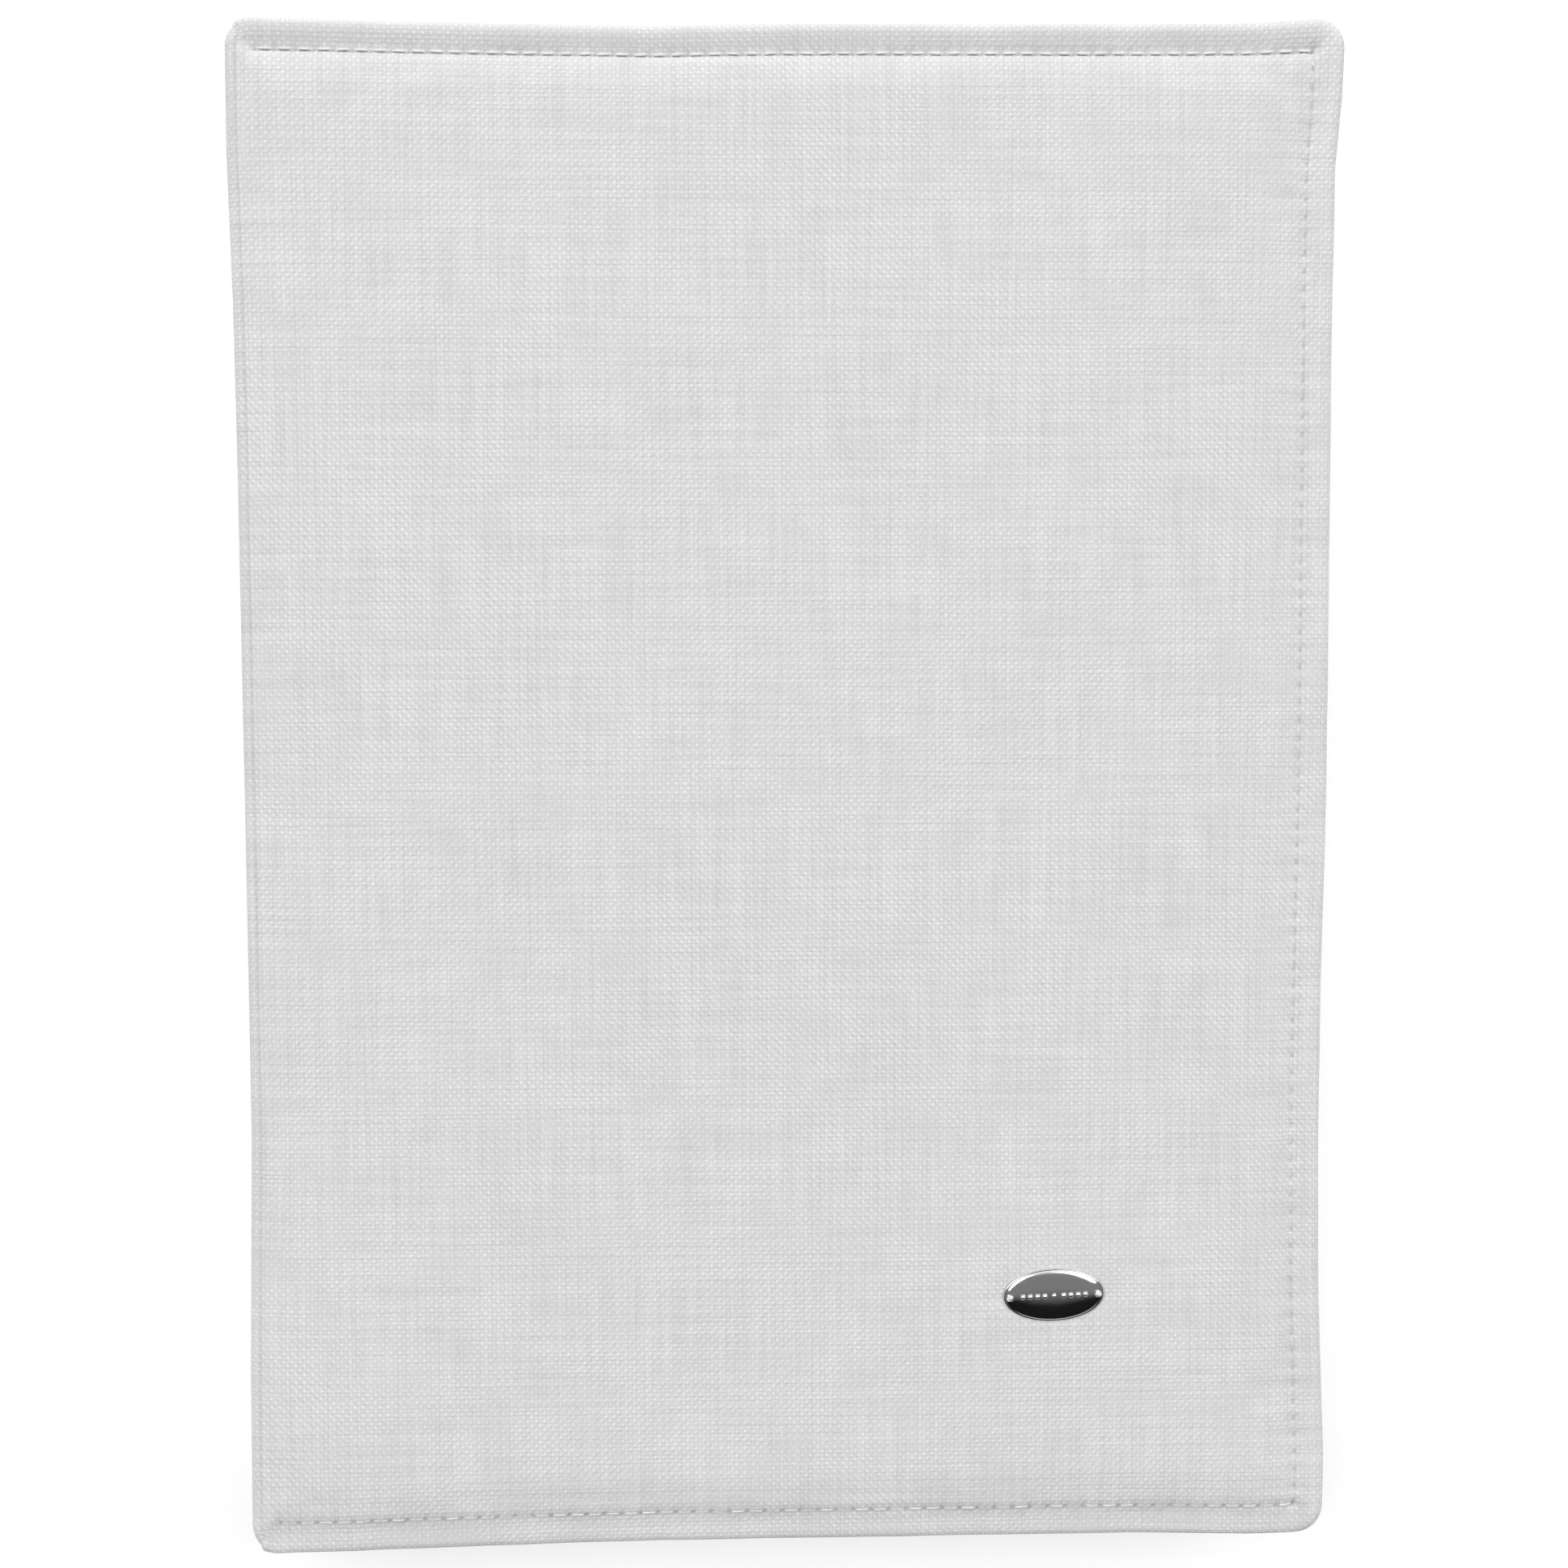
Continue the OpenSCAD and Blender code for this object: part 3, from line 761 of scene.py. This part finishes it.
def wrappedSheet(name, p, uLines, vLines, material, thickness, back):
    bm = steppedGrid(uLines, vLines)
    far = []
    for face in bm.faces:
        c = face.calc_center_median()
        ex, ey = c.x - p["foreX"] + p["corner"], abs(c.y) - p["half"] + p["corner"]
        if ex > 0 and ey > 0 and math.hypot(ex, ey) > p["corner"] + (math.pi - 1) * p["roll"]:
            far.append(face)
    bmesh.ops.delete(bm, geom=far, context="FACES")
    layUv(bm)
    obj = addObject(name, bm, [material])
    flat = readPoints(obj.data)
    x, y, z = wrapCloth(flat[:, 0], flat[:, 1], p)
    writePoints(obj.data, np.stack([x, y, z], 1) * mm)
    bm = bmesh.new()
    bm.from_mesh(obj.data)
    bmesh.ops.remove_doubles(bm, verts=bm.verts, dist=0.01 * mm)
    bmesh.ops.solidify(bm, geom=bm.faces[:], thickness=thickness * mm)
    bm.to_mesh(obj.data)
    bm.free()
    obj.data.shade_smooth()
    if back:
        mirrorToBack(obj)
    return obj


pocket = {
    "edgeX": 19.5,       # free edge of the flap
    "hem": 6.0,          # width of the folded hem
    "wallX": 74.3, "wallY": 105.8,
    "outX": 78.6, "outY": 110.2,
    "corner": 2.2,
    "lowZ": 17.40, "highZ": 19.88,
    "thick": 0.45,
}
pocketPath = {  # distance along the cloth from the board's edge, then how far out and how high
    "along": (-1, 0, 0.45, 0.9, 2.3, 2.75, 3.2, 9.0),
    "out": (-1, 0, 0.32, 0.45, 0.55, 0.75, 1.1, 6.9),
    "drop": (0, 0, 0.15, 0.52, 0.78 + 1.1, 2.32, 2.48, 2.48),
}


def pocketFlap(name, back):
    beyond = pocket["outX"] - pocket["wallX"] + 2.1
    wallX, wallY = pocket["wallX"], pocket["wallY"]
    uLines = steppedValues([(pocket["edgeX"], 25.5, 6), (25.5, 26.5, 2), (26.5, wallX - 2, 24),
                            (wallX - 2, wallX + 3.5, 14), (wallX + 3.5, wallX + beyond, 4)])
    vSide = steppedValues([(0, wallY - 2, 50), (wallY - 2, wallY + 3.5, 14),
                           (wallY + 3.5, wallY + beyond, 4)])
    vLines = np.concatenate([-vSide[::-1], vSide[1:]])
    bm = steppedGrid(uLines, vLines)
    layUv(bm)
    obj = addObject(name, bm, [pocketLinen])
    flat = readPoints(obj.data)
    u, v = flat[:, 0], flat[:, 1]
    shape = {"foreX": wallX, "half": wallY, "corner": pocket["corner"]}
    d, nx, ny = edgeDistance(u, v, shape, 0.0)
    out = np.interp(d, pocketPath["along"], pocketPath["out"])
    drop = np.interp(d, pocketPath["along"], pocketPath["drop"])
    x = u + nx * np.where(d > 0, out - d, 0)
    y = v + ny * np.where(d > 0, out - d, 0)
    x = np.minimum(x, pocket["outX"] + bulgeAt("right", y) * 0.9)
    y = np.clip(y, -pocket["outY"], pocket["outY"])
    sag = 0.10 * wave(y, 5, (70, 31, 17)) * smooth((45 - u) / 25) * (d < 0)
    z = pocket["lowZ"] + drop - np.abs(sag) * 0.5
    writePoints(obj.data, np.stack([x, y, z], 1) * mm)
    bm = bmesh.new()
    bm.from_mesh(obj.data)
    bmesh.ops.solidify(bm, geom=bm.faces[:], thickness=-pocket["thick"] * mm)
    for vert in bm.verts:  # the hem is folded, so it is thicker
        low = vert.co.z / mm < pocket["lowZ"] - 0.12
        inHem = vert.co.x / mm < pocket["edgeX"] + pocket["hem"] + 0.6
        if inHem and low and abs(vert.co.y / mm) < wallY:
            vert.co.z -= 0.14 * mm
    bmesh.ops.recalc_face_normals(bm, faces=bm.faces)
    bm.to_mesh(obj.data)
    bm.free()
    obj.data.shade_smooth()
    if back:
        mirrorToBack(obj)
    return obj


hemStitch = {
    "count": 78,
    "half": 102.0,        # the row ends this far from the middle
    "z": 17.02,
    "wide": 0.20, "high": 0.16,
    "fill": 0.39,         # half the share of a stitch that the thread shows
}


def hemStitches(name, back):
    bm = bmesh.new()
    x = pocket["edgeX"] + pocket["hem"] - 0.2
    step = 2 * hemStitch["half"] / hemStitch["count"]
    size = (hemStitch["wide"] * mm, step * hemStitch["fill"] * mm, hemStitch["high"] * mm, 1)
    shape = Matrix.Diagonal(size)
    for i in range(hemStitch["count"]):
        y = -hemStitch["half"] + (i + 0.5) * step
        spot = Matrix.Translation((x * mm, y * mm, hemStitch["z"] * mm))
        bmesh.ops.create_uvsphere(bm, u_segments=8, v_segments=6, radius=1, matrix=spot @ shape)
    obj = addObject(name, bm, [whiteThread])
    if back:
        mirrorToBack(obj)
    return obj


# Pages

paper = {
    "leaf": 0.105,      # thickness of one leaf
    "pitch": 0.125,     # height taken by one leaf, with the air in it
    "sheets": 4,        # folded sheets in a section
    "sections": 10,
    "section": 1.05,    # height taken by one section
    "lowest": 0.35,     # from the bottom of the block to the lowest section
}


def foldedSheet(bm, middleZ, halfGap, foldX, foreX, headY, random):
    # one folded sheet: two leaves joined by a round fold at the spine
    steps = [foreX, 30, -10, -45, -60] + [-65.5 - 0.75 * i for i in range(13)] + [-75.2]
    path = [(x, halfGap) for x in steps]
    for i in range(1, 8):
        turn = math.pi * i / 8
        path.append((foldX + halfGap - halfGap * math.sin(turn), halfGap * math.cos(turn)))
    path += [(x, -halfGap) for x in reversed(steps)]
    grid = flatGrid((0, len(path) - 1), (-1, 1), len(path) - 1, 4)
    fore = [random.uniform(-0.16, 0.10) for i in range(2)]
    head = random.uniform(-0.12, 0.12)
    for vert in grid.verts:
        number = round(vert.co.x)
        x, z = path[number]
        upper = number < len(path) / 2
        if x > foreX - 1:
            x += fore[0 if upper else 1]
        vert.co = (x, vert.co.y * headY + head, middleZ + z)
    bmesh.ops.solidify(grid, geom=grid.faces[:], thickness=paper["leaf"])
    mesh = bpy.data.meshes.new("sheet")
    grid.to_mesh(mesh)
    grid.free()
    bm.from_mesh(mesh)
    bpy.data.meshes.remove(mesh)


def pageSection(number):
    low = book["blockLow"] + paper["lowest"] + (paper["sections"] - number) * paper["section"]
    middleZ = low + 0.5 + paper["leaf"] / 2 - paper["pitch"] / 2
    random = np.random.RandomState(300 + number)
    bm = bmesh.new()
    for k in range(paper["sheets"]):
        halfGap = (paper["sheets"] - 0.5 - k) * paper["pitch"]
        foldX = book["spineFold"] + paper["pitch"] * k
        foldedSheet(bm, middleZ, halfGap, foldX, book["foreEdge"], book["pageHalf"] - 0.12, random)
    bmesh.ops.recalc_face_normals(bm, faces=bm.faces)
    bmesh.ops.scale(bm, verts=bm.verts, vec=(mm, mm, mm))
    return addObject(f"pageSection{number:02d}", bm, [pagePaper], False)


def paperStrip(name, stations, thickness, material, half):
    # a strip of paper along the spine, given by places across it
    grid = flatGrid((0, len(stations) - 1), (-1, 1), len(stations) - 1, 4)
    for vert in grid.verts:
        x, z = stations[round(vert.co.x)]
        vert.co = (x, vert.co.y * half, z)
    bmesh.ops.solidify(grid, geom=grid.faces[:], thickness=thickness)
    bmesh.ops.recalc_face_normals(grid, faces=grid.faces)
    bmesh.ops.scale(grid, verts=grid.verts, vec=(mm, mm, mm))
    return addObject(name, grid, [material], False)


def endBand(name, y):
    # thread wound side by side over a core, at the end of the spine
    rows, around = 100, 14
    bm = flatGrid((0, 1), (0, 1), around, rows)
    for vert in bm.verts:
        angle, along = vert.co.x * 2 * math.pi, vert.co.y
        radius = 0.84 + 0.06 * math.cos(along * 25 * 2 * math.pi)
        z = book["blockLow"] + along * (book["blockHigh"] - book["blockLow"])
        vert.co = (-75.7 + radius * math.cos(angle), y + radius * math.sin(angle), z)
    bmesh.ops.remove_doubles(bm, verts=bm.verts, dist=0.001)
    bmesh.ops.holes_fill(bm, edges=[edge for edge in bm.edges if edge.is_boundary], sides=40)
    bmesh.ops.recalc_face_normals(bm, faces=bm.faces)
    bmesh.ops.scale(bm, verts=bm.verts, vec=(mm, mm, mm))
    return addObject(name, bm, [bandThread])


# Build: linen covers and their stitching
for side, back, seed in (("front", False, 11), ("back", True, 47)):
    heights = simulatePanel(linen, seed)
    cover, hingeZ = side + "_cover", book["thick"] - book["hingeZ"] if back else book["hingeZ"]
    shell = linenCover(side + "LinenCover", linen, seed, heights, back)
    bendOver(shell, [side + "_outer_linen", side + "_wadding", side + "_hinge_cloth",
                                    "spine_outer_linen"])
    stitches = topStitches(side + "TopStitches", linen, seed, back)
    bendOver(stitches, [side + "_topstitch"])
    print("linen and stitches of the", side)

    uLines = steppedValues([(-90.0, -80.5, 3), (-80.5, -75.0, 14), (-75.0, 78.3, 40)])
    vLines = np.linspace(-110.1, 110.1, 61)
    inner = wrappedSheet(side + "LiningSheet", lining, uLines, vLines, cottonLining, 0.3, back)
    bendOver(inner, [side + "_lining", "spine_lining"])

    uLines = steppedValues([(-88.5, -79.5, 3), (-79.5, -76.5, 10), (-76.5, -74.5, 2), (-74.5, -71.5, 6),
                            (-71.5, 72.0, 30), (72.0, 76.4, 10), (76.4, 87.2, 4)])
    vSide = steppedValues([(0, 103.5, 40), (103.5, 107.9, 10), (107.9, 118.7, 4)])
    casing = wrappedSheet(side + "CaseCloth", caseWrap, uLines, np.concatenate([-vSide[::-1], vSide[1:]]),
                          caseCloth, 0.12, back)
    bendOver(casing, [side + "_case_cloth", "spine_case_cloth"])

    flap = pocketFlap(side + "PocketFlap", back)
    place(flap, cover, side + "_pocket_flap", slot="pocket_linen")
    hem = hemStitches(side + "HemStitches", back)
    place(hem, cover, side + "_pocket_hem_stitch", slot="white_thread")
    print("inside of the", side, "cover")

bpy.context.view_layer.update()
restOn(bpy.data.objects["frontLinenCover"])
place(namePlate(), "front_cover", "name_plate", slot="chromed_plate")
place(plateTies(), "front_cover", "name_plate_ties", slot="white_thread")

# Build: the pages
for number in range(1, paper["sections"] + 1):
    section = pageSection(number)
    node = f"section_{number:02d}"
    if number <= 6:
        bendOver(section, [node, "section_folds"])
    else:
        place(section, "book_block", node, slot="page_paper")
leafSteps = [book["foreEdge"], 30, -10, -45, -60] + [-65.8 - 0.75 * i for i in range(15)]
frontLeaf = paperStrip("frontFlyleaf", [(x, 16.82) for x in leafSteps], 0.14, endPaper, book["pageHalf"])
bendOver(frontLeaf, ["front_flyleaf"])
backLeaf = paperStrip("backFlyleaf", [(x, 5.96) for x in leafSteps], 0.14, endPaper, book["pageHalf"])
place(backLeaf, "book_block", "back_flyleaf", slot="endpaper")
for side, cover, hingeZ, zs in (("front", "front_cover", book["hingeZ"], (17.02, 17.64)),
                                ("back", "back_cover", book["thick"] - book["hingeZ"], (5.63, 5.01))):
    stations = [(x, zs[0] + (zs[1] - zs[0]) * float(smooth((x - book["spineFold"]) / 6.3)))
                for x in (-76.2, -75.5, -74.8, -74, -73.2, -72.4, -71.6, -70.8, -70)]
    strip = paperStrip(side + "EndpaperJoint", stations, 0.12, endPaper, book["pageHalf"])
    bendOver(strip, ())
place(endBand("headBand", 102.9), "book_block", "head_band", slot="end_band")
place(endBand("tailBand", -102.9), "book_block", "tail_band", slot="end_band")
print("pages and bands")

# CAD pieces that stay as they are, with soft edges and their own materials
kept = {
    "front_board": (greyBoard, 0.5), "back_board": (greyBoard, 0.5), "spine_board": (greyBoard, 0.15),
    "front_pastedown": (endPaper, 0.04), "back_pastedown": (endPaper, 0.04),
    "spine_lining_paper": (kraftPaper, 0.04), "spine_mull": (mullCloth, 0.04),
    "sewing_thread": (linenThread, 0.0),
}
for name, (material, width) in kept.items():
    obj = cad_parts[name]
    for i in range(max(1, len(obj.material_slots))):
        if obj.material_slots:
            obj.material_slots[i].material = material
        else:
            obj.data.materials.append(material)
    if width:
        bevel = obj.modifiers.new("softEdges", "BEVEL")
        bevel.width, bevel.segments, bevel.limit_method = width * mm, 2, "ANGLE"

# Stage
bm = bmesh.new()
bmesh.ops.create_grid(bm, x_segments=1, y_segments=1, size=20)
floorMaterial, tree, shader = newMaterial("white studio floor")
shader.inputs["Base Color"].default_value = linear("#a8a8a8")
shader.inputs["Roughness"].default_value = 0.9
shader.inputs["Emission Color"].default_value = linear("#ffffff")  # a lit table, so shadows stay faint
shader.inputs["Emission Strength"].default_value = 0.66
floor = addObject("floor", bm, [floorMaterial])

softBoxes = [  # place in metres, size, power, all aimed at the cover
    {"name": "leftBox", "at": (-1.15, 1.0, 2.05), "size": (1.8, 1.5), "power": 31},
    {"name": "rightBox", "at": (1.25, 1.0, 2.05), "size": (1.5, 1.5), "power": 30},
    {"name": "glintBox", "at": (-0.72, 0.50, 2.30), "size": (0.7, 0.6), "power": 5},
]
for box in softBoxes:
    light = bpy.data.lights.new(box["name"], "AREA")
    light.shape, light.size, light.size_y = "RECTANGLE", *box["size"]
    light.energy = box["power"]
    lamp = bpy.data.objects.new(box["name"], light)
    bpy.context.scene.collection.objects.link(lamp)
    lamp.location = box["at"]
    lamp.rotation_euler = (-Vector(box["at"])).to_track_quat("-Z", "Y").to_euler()

world = bpy.data.worlds.new("studio")
bpy.context.scene.world = world
world.use_nodes = True
tree = world.node_tree
tree.nodes.clear()
direction = addNode(tree, "TexCoord").node.outputs["Generated"]
towards = addNode(tree, "SeparateXYZ", {0: direction}).node.outputs
tone = (0.012, 0.012, 0.012, 1)
for axis, start, end, grey in ((1, -0.36, -0.24, 0.25),   # dark at the tail, grey overhead
                               (1, 0.25, 0.70, 1.15),     # bright at the head
                               (2, 0.30, 0.14, 0.62)):    # a pale backdrop all round
    share = addNode(tree, "MapRange", {0: towards[axis], 1: start, 2: end})
    colours = {0: share, 6: tone, 7: (grey, grey, grey, 1)}
    tone = addNode(tree, "Mix", colours, data_type="RGBA").node.outputs[2]
sky = addNode(tree, "Background", {"Color": tone, "Strength": 1.0})
addNode(tree, "OutputWorld", {"Surface": sky})

cameraData = bpy.data.cameras.new("camera")
cameraData.lens, cameraData.sensor_width = 50, 36
camera = bpy.data.objects.new("camera", cameraData)
bpy.context.scene.collection.objects.link(camera)
camera.location = (-0.0106, 0.0200, 0.3375)
camera.rotation_euler = (math.radians(-3.356), math.radians(-1.764), math.radians(-0.115))
bpy.context.scene.camera = camera
bpy.context.scene.view_settings.view_transform = "Standard"
